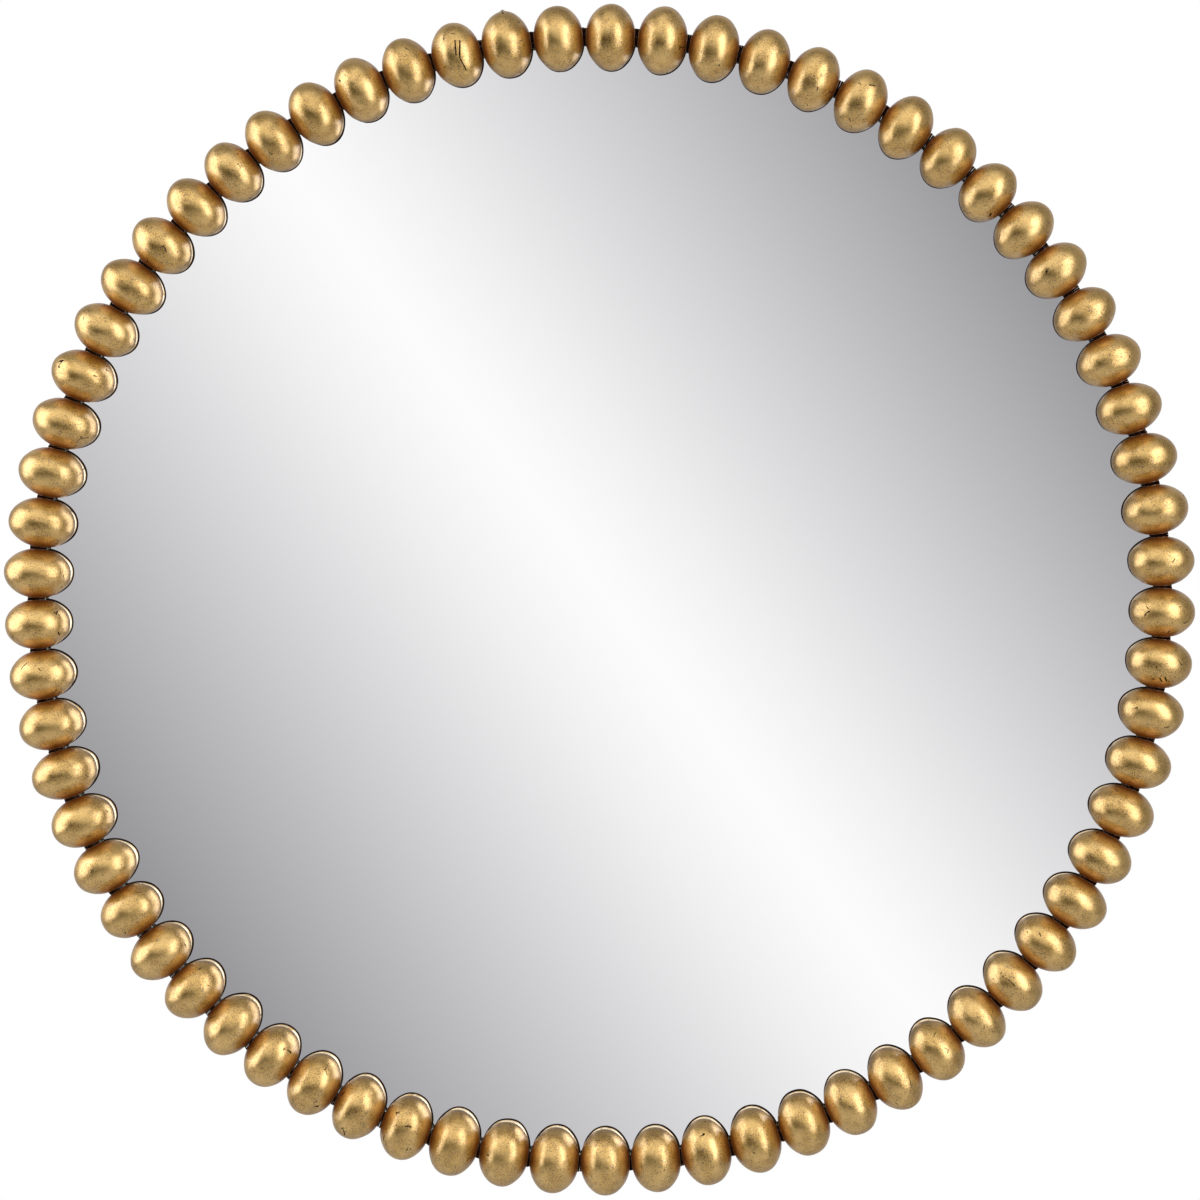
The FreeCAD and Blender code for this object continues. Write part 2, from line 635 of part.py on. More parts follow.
d_ring = new_body("d_ring")
path = d_ring_path(d_ring)
wire = circles(d_ring, "YZ_Plane", [("0", "0", "worked.wire_radius")])
doc.recompute()
pipe = feature(d_ring, "AdditivePipe", wire)
pipe.Spine = (path, ["Edge%d" % (number + 1) for number in range(len(path.Shape.Edges))])

for side, across in hanger_sides.items():
    sub_part("hanger_strap_" + side, [copy_at(strap, across, "0", "worked.hanger_height")])
    sub_part("d_ring_" + side, [copy_at(d_ring, across, "worked.eye_radius", "worked.hanger_height")])
sub_part("hanger_screws", [copy_at(screw, across, "sizes.strap_thickness", up)
                           for across, up in strap_screw_spots])


# Rubber bumpers, stuck to the rear of the ring.

bumper = new_body("bumper")
revolve(bumper, outline(bumper, "XY_Plane", [
    ("0", "0"), ("sizes.bumper_diameter / 2", "0"), ("sizes.bumper_diameter / 2", "sizes.bumper_rim_height"),
    ("sizes.bumper_face_diameter / 2", "sizes.bumper_height"), ("0", "sizes.bumper_height")]))
for place, angle in (("upper_right", "90 - sizes.bumper_spread / 2"),
                     ("upper_left", "90 + sizes.bumper_spread / 2"),
                     ("lower_left", "270 - sizes.bumper_spread / 2"),
                     ("lower_right", "270 + sizes.bumper_spread / 2")):
    sub_part("bumper_" + place, [copy_round(bumper, angle, "worked.hanger_circle")])


# Every object has to be sound before anything is written.

doc.recompute()
for made in doc.Objects:
    if "Invalid" in made.State or "Error" in made.State:
        raise RuntimeError("%s failed: %s" % (made.Label, made.State))
for made in sub_parts:
    if made.Shape.isNull() or not made.Shape.isValid() or not made.Shape.Solids:
        raise RuntimeError("%s has no sound shape" % made.Label)

os.makedirs("parts", exist_ok=True)
for made in sub_parts:
    made.Shape.exportStep("parts/%s.step" % made.Label)
    print("%-22s %2d solids %10.1f mm3" % (made.Label, len(made.Shape.Solids), made.Shape.Volume))
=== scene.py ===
import math

import bpy
import numpy as np
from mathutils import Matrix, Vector


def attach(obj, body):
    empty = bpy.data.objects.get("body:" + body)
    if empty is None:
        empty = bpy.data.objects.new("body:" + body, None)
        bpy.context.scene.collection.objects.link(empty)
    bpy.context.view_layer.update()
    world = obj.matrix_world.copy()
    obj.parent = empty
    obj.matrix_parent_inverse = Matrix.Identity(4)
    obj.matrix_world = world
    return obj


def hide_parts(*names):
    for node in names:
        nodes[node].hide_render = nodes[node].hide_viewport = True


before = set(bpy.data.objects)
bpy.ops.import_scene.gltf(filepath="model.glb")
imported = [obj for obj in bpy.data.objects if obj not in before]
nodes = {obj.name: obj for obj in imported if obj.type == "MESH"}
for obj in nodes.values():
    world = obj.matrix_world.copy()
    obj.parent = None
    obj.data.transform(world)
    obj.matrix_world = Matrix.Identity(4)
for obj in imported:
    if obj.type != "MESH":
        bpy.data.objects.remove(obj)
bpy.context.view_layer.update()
print("frame loaded,", len(nodes), "nodes")


# Node helpers: a value that is a socket is linked, anything else is set on the input
def setInput(tree, socket, value):
    if isinstance(value, bpy.types.NodeSocket):
        tree.links.new(value, socket)
    else:
        socket.default_value = value


def addNode(tree, kind, inputs=None, **settings):
    node = tree.nodes.new(kind)
    for name, value in settings.items():
        setattr(node, name, value)
    for name, value in (inputs or {}).items():
        setInput(tree, node.inputs[name], value)
    return node


def math2(tree, operation, a, b=0.0, clamp=False):
    node = addNode(tree, "ShaderNodeMath", {0: a, 1: b}, operation=operation, use_clamp=clamp)
    return node.outputs[0]


def vectorMath(tree, operation, *values):
    # the vector, or the number where the operation gives one
    node = addNode(tree, "ShaderNodeVectorMath", dict(enumerate(values)), operation=operation)
    return node.outputs["Value" if operation in ("DOT_PRODUCT", "DISTANCE") else "Vector"]


def between(tree, value, low, high, toLow=0.0, toHigh=1.0):
    # smooth step from toLow to toHigh while value goes from low to high
    inputs = {"Value": value, "From Min": low, "From Max": high, "To Min": toLow, "To Max": toHigh}
    node = addNode(tree, "ShaderNodeMapRange", inputs, interpolation_type="SMOOTHSTEP")
    return node.outputs["Result"]


def mixColour(tree, share, a, b):
    node = addNode(tree, "ShaderNodeMix", data_type="RGBA")
    for place, value in ((0, share), (6, a), (7, b)):
        setInput(tree, node.inputs[place], value)
    return node.outputs[2]


def mixValue(tree, share, a, b):
    node = addNode(tree, "ShaderNodeMix", {0: share, 2: a, 3: b}, data_type="FLOAT")
    return node.outputs[0]


def noise(tree, coords, size, detail, rough):
    # size is about the width of one spot, in metres
    inputs = {"Vector": coords, "Scale": 1 / size, "Detail": detail, "Roughness": rough}
    return addNode(tree, "ShaderNodeTexNoise", inputs).outputs["Fac"]


def objectCoords(tree):
    return addNode(tree, "ShaderNodeTexCoord").outputs["Object"]


def attribute(tree, name):
    return addNode(tree, "ShaderNodeAttribute", attribute_name=name).outputs["Fac"]


def bump(tree, height, depth, under=None):
    # depth is how far the surface rises, in metres, from height 0 to 1
    node = addNode(tree, "ShaderNodeBump", {"Height": height, "Distance": depth, "Strength": 1.0})
    if under is not None:
        tree.links.new(under, node.inputs["Normal"])
    return node.outputs["Normal"]


def newFinish(name, **settings):
    material = bpy.data.materials.new(name)
    material.use_nodes = True
    tree = material.node_tree
    tree.nodes.clear()
    shader = addNode(tree, "ShaderNodeBsdfPrincipled")
    output = addNode(tree, "ShaderNodeOutputMaterial")
    tree.links.new(shader.outputs["BSDF"], output.inputs["Surface"])
    for socket, value in settings.items():
        shader.inputs[socket].default_value = value
    return material, tree, shader


def colour(red, green, blue):
    return (red, green, blue, 1.0)


# Beads: turned wood, gessoed and leafed by hand
bead = {
    "count": 69,
    "perPiece": 3,
    "circle": 0.384,
    "axisY": -0.031,
    "startAngle": 4.05,
    "pitch": 5.18898,
    "looseGaps": 18,
    "extraTurn": 0.1089,
    "halfLength": 0.0164,
    "radius": 0.0225,
    "flatRadius": 0.006,
    "crownRadius": 0.01375,
    "flankRadius": 0.0225,
    # the collars close the joints between beads and are coloured near-black: painted shade
    "collar": 0.00093,
    "bore": 0.0029,
    "seat": 0.012,
    "seatSharp": 18,
    "around": 96,
    "along": 82,
    "sizeSpread": 0.014,
    "skewSpread": 0.0004,
    "tiltSpread": 0.5,
    "waves": 10,
    "waveLength": (0.014, 0.040),
    "waveHeight": 0.00008,
    "facets": 16,
    "facetDepth": 0.00016,
    "nubBead": 18,
    "nubAt": (0, 0, -0.0012),
    "nubHeight": 0.0011,
    "nubWidth": 0.0014,
    "toneSpread": 0.12,
    "seed": 11,
}


def beadProfile(b):
    # closed loop (t, r): a crown arc, flank arcs that touch it, short collars, the flats, the bore
    crownAt = b["radius"] - b["crownRadius"]
    reach = b["flankRadius"] - b["crownRadius"]
    across = np.array([b["halfLength"], b["flatRadius"] - crownAt])
    span = np.hypot(*across)
    unit = across / span
    along = (reach ** 2 - b["flankRadius"] ** 2 + span ** 2) / (2 * span)
    aside = math.sqrt(reach ** 2 - along ** 2)
    flankT = along * unit[0] + aside * unit[1]
    flankR = crownAt + along * unit[1] - aside * unit[0]
    meet = math.atan2(crownAt - flankR, -flankT)
    low = math.atan2(b["flatRadius"] - flankR, b["halfLength"] - flankT)
    turn = np.linspace(math.pi - low, low, b["along"])
    side = np.where(turn > math.pi / 2, -1.0, 1.0)
    fromEnd = np.minimum(turn, math.pi - turn)
    onFlank = fromEnd < meet
    t = side * np.where(onFlank, flankT + b["flankRadius"] * np.cos(fromEnd),
                        b["crownRadius"] * np.cos(fromEnd))
    r = np.where(onFlank, flankR + b["flankRadius"] * np.sin(fromEnd),
                 crownAt + b["crownRadius"] * np.sin(fromEnd))
    end = b["halfLength"] + b["collar"]
    collar = b["halfLength"] + b["collar"] * np.array([0.12, 0.5, 0.88, 1.0])
    flat = np.linspace(b["flatRadius"], b["bore"], 5)[1:]
    inside = np.linspace(end, -end, 7)[1:]
    t = np.concatenate([t, collar, np.full(4, end), inside, np.full(3, -end), -collar[::-1]])
    r = np.concatenate([r, np.full(4, b["flatRadius"]), flat, np.full(6, b["bore"]), flat[::-1][1:],
                        np.full(4, b["flatRadius"])])
    return t, r


def beadSurface(b, index, rng):
    # the loop turned about the bead's axis, then made uneven: size, lean, waves and flats cut by planes
    t, r = beadProfile(b)
    h = b["halfLength"]
    body = np.clip((r - b["flatRadius"]) / (b["radius"] - b["flatRadius"]), 0, 1)
    outside = np.arange(len(t)) < b["along"]
    soft = np.where(outside, np.sqrt(body), 0)
    grow = 1 + soft * rng.normal(0, b["sizeSpread"])
    t = t + rng.normal(0, b["skewSpread"]) * soft * np.clip(1 - (t / h) ** 2, 0, 1)
    turn = np.linspace(0, 2 * math.pi, b["around"], endpoint=False)[:, None]
    radius = (r * grow)[None, :]
    # the collars are trimmed to the joints, which run towards the middle of the ring
    trim = np.where(outside, 0, np.clip((np.abs(t) - h) / b["collar"], 0, 1)) * np.sign(t)
    trimmed = t + trim * radius * np.cos(turn) * math.tan(math.radians(b["pitch"] / 2))
    # at the loose joints they are longer by half the extra gap
    loose = np.where(t > 0, index < b["looseGaps"], 0 < index <= b["looseGaps"])
    trimmed = trimmed + trim * loose * b["circle"] * math.radians(b["extraTurn"]) / 2
    points = np.stack([radius * np.cos(turn), radius * np.sin(turn), trimmed], axis=-1)
    out = np.stack([np.cos(turn), np.sin(turn), 0 * turn], axis=-1)
    for k in range(b["waves"]):
        wave = rng.normal(0, 1, 3)
        wave *= 2 * math.pi / (np.linalg.norm(wave) * rng.uniform(*b["waveLength"]))
        swell = b["waveHeight"] * np.cos(points @ wave + rng.uniform(0, 2 * math.pi))
        points = points + (soft * swell)[..., None] * out
    for k in range(b["facets"]):
        facing = rng.normal(0, 1, 3) * (1, 1, 0.8)
        facing /= np.linalg.norm(facing)
        height = points @ facing
        over = np.clip(height - height.max() + rng.uniform(0.3, 1.0) * b["facetDepth"], 0, None)
        points = points - (soft * over)[..., None] * facing
    if index == b["nubBead"]:
        # a lump of gesso, as high as nubHeight, at the outer tip
        toNub = np.linalg.norm(points - points[0, b["along"] // 2] - b["nubAt"], axis=-1)
        lump = b["nubHeight"] * np.exp(-(toNub / b["nubWidth"]) ** 2)
        points = points + (soft * lump)[..., None] * out
    # the back is sanded flat to the seat: y goes over into it with a small round
    y = points[..., 1]
    sharp = b["seatSharp"]
    flatShare = np.where(y > 0, (1 + (np.clip(y, 0, None) / b["seat"]) ** sharp) ** (-1 / sharp), 1)
    points[..., 1] = y * flatShare
    lean = math.radians(rng.normal(0, b["tiltSpread"]))
    place = math.radians(b["startAngle"] + index * b["pitch"]
                         + min(index, b["looseGaps"]) * b["extraTurn"])
    radial = np.array([math.cos(place), 0, math.sin(place)])
    tangent = np.array([-math.sin(place), 0, math.cos(place)])
    radialLean = radial * math.cos(lean) + tangent * math.sin(lean)
    tangentLean = tangent * math.cos(lean) - radial * math.sin(lean)
    centre = radial * b["circle"] + np.array([0, b["axisY"], 0])
    world = (centre + points[..., :1] * radialLean + points[..., 1:2] * np.array([0, 1, 0])
             + points[..., 2:] * tangentLean)
    # neck is 0 at the widest line, 1 where the collar starts and 1.2 at its end
    neck = np.where(outside, np.abs(t) / h, 1 + 0.2 * np.clip((np.abs(t) - h) / b["collar"], 0, 1))
    neckGrid = np.broadcast_to(neck, radius.shape) + 0 * turn
    rear = np.clip(1 - flatShare, 0, 1) ** 0.5
    return world, neckGrid, rear


def gridFaces(rows, columns):
    # quads of a grid that closes on itself both ways
    i, j = np.meshgrid(np.arange(rows), np.arange(columns), indexing="ij")
    i2, j2 = (i + 1) % rows, (j + 1) % columns
    quads = [i * columns + j, i2 * columns + j, i2 * columns + j2, i * columns + j2]
    return np.stack(quads, axis=-1).reshape(-1, 4)


def meshPiece(name, points, faces, finish, values=None):
    mesh = bpy.data.meshes.new(name)
    mesh.from_pydata(points, [], faces)
    for key, numbers in (values or {}).items():
        layer = mesh.attributes.new(key, "FLOAT", "POINT")
        layer.data.foreach_set("value", numbers.astype(np.float32))
    mesh.polygons.foreach_set("use_smooth", np.ones(len(mesh.polygons), bool))
    mesh.materials.append(finish)
    mesh.update()
    piece = bpy.data.objects.new(name, mesh)
    bpy.context.scene.collection.objects.link(piece)
    return piece


gilt = {
    "paleLeaf": colour(0.77, 0.48, 0.125),
    "deepLeaf": colour(0.62, 0.355, 0.048),
    # the orange and near-black colours below are partly the real red bole and partly painted: a glow of
    # the neighbouring beads, and the shade of the joints and the dark line
    "orangeBoleAndGlow": colour(0.40, 0.135, 0.016),
    "darkBoleAndShade": colour(0.008, 0.002, 0.002),
    "wash": colour(0.13, 0.060, 0.014),
    "limbTint": colour(0.60, 0.42, 0.22),
    # the pale rear leaf is a painted highlight, seen as bright crescents in the glass
    "crescentHighlightLeaf": colour(0.92, 0.79, 0.55),
    "crescentPatch": 0.007,
    "backBole": colour(0.115, 0.040, 0.024),
    "patch": 0.012,
    "deepFrom": (0.35, 0.68),
    "washFrom": (0.51, 0.62),
    "washShare": 0.8,
    "speckFrom": (0.57, 0.64),
    # where the orange painted glow and the near-black painted shade of the joints begin along the neck
    "neckRagged": 0.12,
    "neckBoleAndGlow": (0.66, 0.99),
    "neckShadeFrom": (0.98, 1.07),
    "neckGlowShare": 0.82,
    "grain": 0.0008,
    "grainDepth": 0.00011,
    "speck": 0.0009,
    "dust": 0.0005,
    "dustDepth": 0.00006,
    "rough": 0.22,
    "roughGrain": 0.16,
    "roughNeck": 0.28,
    "coatRough": 0.22,
    "coatIor": 1.85,
    "specular": 0.05,
    # the angles below bound the painted dark line behind the widest line, and then the painted pale
    # crescent strip
    "darkLineFront": -1.5,
    "darkLineRear": 14.0,
    "crescentRear": 29.0,
    "crescentFrom": (0.33, 0.43),
    "backFrom": (0.70, 0.78),
    "wobble": 0.002,
    "wobbleBy": 0.0012,
    "pitSpace": 0.0075,
    "pitShare": 0.30,
    "pitWidth": 0.0005,
    "crackSpace": 0.016,
    "crackWidth": 0.016,
    "crackPatch": 0.010,
    "crackFrom": (0.64, 0.68),
    "flawDepth": 0.0003,
    "markWidth": 0.00045,
}

# single cracks and flecks of the front: lines from (x, z) to (x, z), in metres
marks = (
    (-0.0933, 0.3815, -0.0933, 0.3700),
    (-0.0933, 0.3700, -0.0894, 0.3618),
    (-0.0966, 0.3815, -0.0958, 0.3716),
    (0.3820, -0.0515, 0.3836, -0.0535),
    (0.3855, -0.0508, 0.3868, -0.0530),
    (0.3773, -0.0518, 0.3778, -0.0521),
    (0.3733, -0.0067, 0.3747, -0.0058),
    (0.3720, -0.0085, 0.3728, -0.0072),
    (-0.1755, 0.3548, -0.1748, 0.3541),
    (0.1845, 0.3513, 0.1885, 0.3508),
    (-0.0650, 0.4010, -0.0642, 0.4003),
)


def nearMark(tree, coords, mark):
    # how far the point lies from one line, seen from the front
    x1, z1, x2, z2 = mark
    along = Vector((x2 - x1, 0, z2 - z1))
    flat = vectorMath(tree, "MULTIPLY", coords, (1, 0, 1))
    start = vectorMath(tree, "SUBTRACT", flat, (x1, 0, z1))
    share = vectorMath(tree, "DOT_PRODUCT", start, along / along.length_squared)
    held = math2(tree, "ADD", share, 0.0, clamp=True)
    foot = addNode(tree, "ShaderNodeVectorMath", {0: along, "Scale": held}, operation="SCALE").outputs[0]
    return vectorMath(tree, "DISTANCE", start, foot)


def giltFlaws(tree, coords, lean):
    # pits in some cells, hair cracks along some cell edges, and the marks above
    wobble = addNode(tree, "ShaderNodeTexNoise",
                     {"Vector": coords, "Scale": 1 / gilt["wobble"], "Detail": 2.0})
    shift = vectorMath(tree, "MULTIPLY_ADD", wobble.outputs["Color"], (gilt["wobbleBy"],) * 3, coords)
    cells = addNode(tree, "ShaderNodeTexVoronoi", {"Vector": shift, "Scale": 1 / gilt["pitSpace"]})
    chosen = addNode(tree, "ShaderNodeSeparateColor", {"Color": cells.outputs["Color"]}).outputs
    width = math2(tree, "MULTIPLY", chosen["Green"], gilt["pitWidth"] / gilt["pitSpace"])
    pits = math2(tree, "MULTIPLY", math2(tree, "LESS_THAN", cells.outputs["Distance"], width),
                 math2(tree, "LESS_THAN", chosen["Red"], gilt["pitShare"]))
    edges = addNode(tree, "ShaderNodeTexVoronoi", {"Vector": shift, "Scale": 1 / gilt["crackSpace"]},
                    feature="DISTANCE_TO_EDGE").outputs["Distance"]
    where = noise(tree, coords, gilt["crackPatch"], 2, 0.5)
    cracks = math2(tree, "MULTIPLY", math2(tree, "LESS_THAN", edges, gilt["crackWidth"]),
                   between(tree, where, *gilt["crackFrom"]))
    nearest = nearMark(tree, shift, marks[0])
    for mark in marks[1:]:
        nearest = math2(tree, "MINIMUM", nearest, nearMark(tree, shift, mark))
    placed = math2(tree, "MULTIPLY", math2(tree, "LESS_THAN", nearest, gilt["markWidth"]),
                   math2(tree, "LESS_THAN", lean, -0.1))
    return math2(tree, "MAXIMUM", math2(tree, "MAXIMUM", pits, cracks), placed)


def giltFinish():
    material, tree, shader = newFinish("giltLeaf")
    coords = objectCoords(tree)
    neck = attribute(tree, "neck")
    rear = attribute(tree, "rear")
    tone = attribute(tree, "tone")
    patches = noise(tree, coords, gilt["patch"], 3, 0.6)
    grain = noise(tree, coords, gilt["grain"], 4, 0.65)
    dust = noise(tree, coords, gilt["dust"], 2, 0.6)
    deep = math2(tree, "ADD", between(tree, patches, *gilt["deepFrom"]), tone, clamp=True)
    leaf = mixColour(tree, deep, gilt["paleLeaf"], gilt["deepLeaf"])
    # brown wash left in the grain, more of it in some patches
    washAt = math2(tree, "MULTIPLY", between(tree, grain, *gilt["washFrom"]),
                   between(tree, patches, 0.15, 0.65))
    leaf = mixColour(tree, math2(tree, "MULTIPLY", washAt, gilt["washShare"]), leaf, gilt["wash"])
    specks = between(tree, noise(tree, coords, gilt["speck"], 1, 0.5), *gilt["speckFrom"])
    specks = math2(tree, "MULTIPLY", specks, between(tree, patches, 0.35, 0.65, 0.25, 0.85))
    leaf = mixColour(tree, specks, leaf, gilt["wash"])
    # towards the flats the leaf goes orange, partly the red bole under thin leaf and partly a painted
    # glow of the neighbouring beads; at the flats and collars it goes near-black, painted shade of the
    # joints
    uneven = math2(tree, "MULTIPLY", math2(tree, "SUBTRACT", grain, 0.5), gilt["neckRagged"])
    ragged = math2(tree, "ADD", neck, uneven)
    boleAndGlow = between(tree, ragged, *gilt["neckBoleAndGlow"])
    neckShade = between(tree, ragged, *gilt["neckShadeFrom"])
    leaf = mixColour(tree, math2(tree, "MULTIPLY", boleAndGlow, gilt["neckGlowShare"]), leaf, gilt["orangeBoleAndGlow"])
    # a near-black line just behind the widest line is painted shade, so the bead's reflection in the
    # glass shows a dark outline
    normal = addNode(tree, "ShaderNodeTexCoord").outputs["Normal"]
    lean = addNode(tree, "ShaderNodeSeparateXYZ", {"Vector": normal}).outputs["Y"]
    darkLineFront, darkLineRear, crescentRear = (math.sin(math.radians(gilt[key]))
                                      for key in ("darkLineFront", "darkLineRear", "crescentRear"))
    paintedDarkLine = math2(tree, "MULTIPLY", between(tree, lean, darkLineFront - 0.02, darkLineFront + 0.02),
                 between(tree, lean, darkLineRear + 0.03, darkLineRear - 0.03))
    # behind the dark line a strip of pale leaf is a painted highlight, so the bead's reflection in the
    # glass shows bright crescents; then gold again, then the plain red bole of the back
    crescentPatches = between(tree, noise(tree, coords, gilt["crescentPatch"], 2, 0.5), *gilt["crescentFrom"])
    paintedCrescent = mixColour(tree, crescentPatches, leaf, gilt["crescentHighlightLeaf"])
    onPaintedCrescent = math2(tree, "MULTIPLY", between(tree, lean, darkLineRear, darkLineRear + 0.06),
                    between(tree, lean, crescentRear + 0.06, crescentRear))
    leaf = mixColour(tree, onPaintedCrescent, leaf, paintedCrescent)
    frayed = math2(tree, "ADD", lean, math2(tree, "MULTIPLY", grain, 0.12))
    back = between(tree, frayed, *gilt["backFrom"])
    back = math2(tree, "MAXIMUM", back, between(tree, rear, 0.25, 0.5))
    worn = mixColour(tree, between(tree, patches, 0.3, 0.7), gilt["backBole"], gilt["darkBoleAndShade"])
    flaws = giltFlaws(tree, coords, lean)
    # dark holds the painted shade of the joints and of the dark line, and the real pits and cracks
    dark = math2(tree, "MAXIMUM", math2(tree, "MAXIMUM", neckShade, paintedDarkLine), flaws)
    groundAndShade = math2(tree, "MAXIMUM", dark, back)
    under = mixColour(tree, dark, worn, gilt["darkBoleAndShade"])
    setInput(tree, shader.inputs["Base Color"], mixColour(tree, groundAndShade, leaf, under))
    leafed = math2(tree, "SUBTRACT", 1.0, groundAndShade)
    setInput(tree, shader.inputs["Metallic"], leafed)
    setInput(tree, shader.inputs["Coat Weight"], leafed)
    shader.inputs["Coat Roughness"].default_value = gilt["coatRough"]
    shader.inputs["Coat IOR"].default_value = gilt["coatIor"]
    shader.inputs["Specular IOR Level"].default_value = gilt["specular"]
    shader.inputs["Specular Tint"].default_value = gilt["limbTint"]
    rough = math2(tree, "ADD", gilt["rough"], math2(tree, "MULTIPLY", grain, gilt["roughGrain"]))
    rough = math2(tree, "ADD", rough, between(tree, neck, 0.35, 0.95, 0.0, gilt["roughNeck"]))
    setInput(tree, shader.inputs["Roughness"], mixValue(tree, groundAndShade, rough, 1.0))
    pitted = bump(tree, grain, gilt["grainDepth"])
    grainy = bump(tree, dust, gilt["dustDepth"], pitted)
    grainy = bump(tree, math2(tree, "SUBTRACT", 1.0, flaws), gilt["flawDepth"], grainy)
    setInput(tree, shader.inputs["Normal"], grainy)
    setInput(tree, shader.inputs["Coat Normal"], grainy)
    return material


giltLeaf = giltFinish()
loopFaces = gridFaces(bead["around"], len(beadProfile(bead)[0]))
triangles = 0
for first in range(0, bead["count"], bead["perPiece"]):
    points, faces, necks, rears, tones = [], [], [], [], []
    for index in range(first, first + bead["perPiece"]):
        rng = np.random.default_rng(bead["seed"] * 1000 + index)
        surface, neck, rear = beadSurface(bead, index, rng)
        faces.append(loopFaces + sum(len(p) for p in points))
        points.append(surface.reshape(-1, 3))
        necks.append(neck.ravel())
        rears.append(rear.ravel())
        tones.append(np.full(neck.size, rng.normal(0, bead["toneSpread"])))
    label = f"{first + 1:02d}_{first + bead['perPiece']:02d}"
    values = {"neck": np.concatenate(necks), "rear": np.concatenate(rears),
              "tone": np.concatenate(tones)}
    piece = meshPiece("gilt_beads_" + label, np.concatenate(points), np.concatenate(faces),
                      giltLeaf, values)
    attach(piece, "frame")
    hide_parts("beads_" + label)
    triangles += 2 * len(piece.data.polygons)
print("beads made,", triangles, "triangles")


# Mirror glass: the front reflects, the edge is green glass, the back is the grey backing paint
mirror = {
    "silver": colour(0.95, 0.945, 0.948),
    "edge": colour(0.10, 0.24, 0.19),
    "backing": colour(0.20, 0.21, 0.22),
    "paleBacking": colour(0.27, 0.28, 0.29),
    "streak": 0.004,
}


def silveredFinish():
    material, tree, shader = newFinish("silveredGlass")
    normal = addNode(tree, "ShaderNodeTexCoord").outputs["Normal"]
    facing = addNode(tree, "ShaderNodeSeparateXYZ", {"Vector": normal}).outputs["Y"]
    front = between(tree, facing, -0.9, -0.99)
    behind = between(tree, facing, 0.9, 0.99)
    streaks = noise(tree, objectCoords(tree), mirror["streak"], 4, 0.6)
    backing = mixColour(tree, streaks, mirror["backing"], mirror["paleBacking"])
    sides = mixColour(tree, behind, mirror["edge"], backing)
    setInput(tree, shader.inputs["Base Color"], mixColour(tree, front, sides, mirror["silver"]))
    setInput(tree, shader.inputs["Metallic"], front)
    sideRough = mixValue(tree, behind, 0.12, 0.5)
    setInput(tree, shader.inputs["Roughness"], mixValue(tree, front, sideRough, 0.0))
    return material


# Plain finishes of the back: a base colour, a second one in patches, gloss and a fine grain
plainFinishes = {
    "paintedBoard": {"a": colour(0.020, 0.019, 0.018), "b": colour(0.035, 0.033, 0.030), "patch": 0.006,
                     "metal": 0.0, "rough": (0.45, 0.65), "grain": 0.0012, "depth": 0.00005},
    "hardboard": {"a": colour(0.20, 0.105, 0.048), "b": colour(0.30, 0.17, 0.085), "patch": 0.003,
                  "metal": 0.0, "rough": (0.6, 0.8), "grain": 0.0009, "depth": 0.00008},
    "foamTape": {"a": colour(0.80, 0.80, 0.77), "b": colour(0.70, 0.70, 0.67), "patch": 0.002,
                 "metal": 0.0, "rough": (0.8, 0.95), "grain": 0.0006, "depth": 0.00010},
    "brightRod": {"a": colour(0.56, 0.56, 0.55), "b": colour(0.42, 0.41, 0.40), "patch": 0.010,
                  "metal": 1.0, "rough": (0.25, 0.40), "grain": 0.0004, "depth": 0.00001},
    "zincStrip": {"a": colour(0.62, 0.63, 0.64), "b": colour(0.48, 0.49, 0.51), "patch": 0.005,
                  "metal": 1.0, "rough": (0.28, 0.48), "grain": 0.0006, "depth": 0.00002},
    "zincScrews": {"a": colour(0.60, 0.60, 0.60), "b": colour(0.44, 0.44, 0.46), "patch": 0.002,
                   "metal": 1.0, "rough": (0.25, 0.45), "grain": 0.0004, "depth": 0.00001},
    "blackScrews": {"a": colour(0.018, 0.018, 0.018), "b": colour(0.045, 0.043, 0.040), "patch": 0.002,
                    "metal": 0.0, "rough": (0.35, 0.55), "grain": 0.0004, "depth": 0.00001},
    "nickelStrip": {"a": colour(0.66, 0.63, 0.58), "b": colour(0.52, 0.49, 0.45), "patch": 0.006,
                    "metal": 1.0, "rough": (0.18, 0.32), "grain": 0.0005, "depth": 0.00001},
    "nickelWire": {"a": colour(0.68, 0.65, 0.60), "b": colour(0.55, 0.52, 0.48), "patch": 0.004,
                   "metal": 1.0, "rough": (0.15, 0.28), "grain": 0.0005, "depth": 0.00001},
    "bumperRubber": {"a": colour(0.022, 0.022, 0.023), "b": colour(0.04, 0.04, 0.04), "patch": 0.003,
                     "metal": 0.0, "rough": (0.6, 0.8), "grain": 0.0007, "depth": 0.00004},
}


def plainFinish(name, look):
    material, tree, shader = newFinish(name, Metallic=look["metal"])
    coords = objectCoords(tree)
    patches = noise(tree, coords, look["patch"], 4, 0.6)
    grain = noise(tree, coords, look["grain"], 3, 0.6)
    mixed = mixColour(tree, between(tree, patches, 0.35, 0.65), look["a"], look["b"])
    setInput(tree, shader.inputs["Base Color"], mixed)
    setInput(tree, shader.inputs["Roughness"], mixValue(tree, grain, *look["rough"]))
    setInput(tree, shader.inputs["Normal"], bump(tree, grain, look["depth"]))
    return material


finishes = {name: plainFinish(name, look) for name, look in plainFinishes.items()}
finishes["silveredGlass"] = silveredFinish()

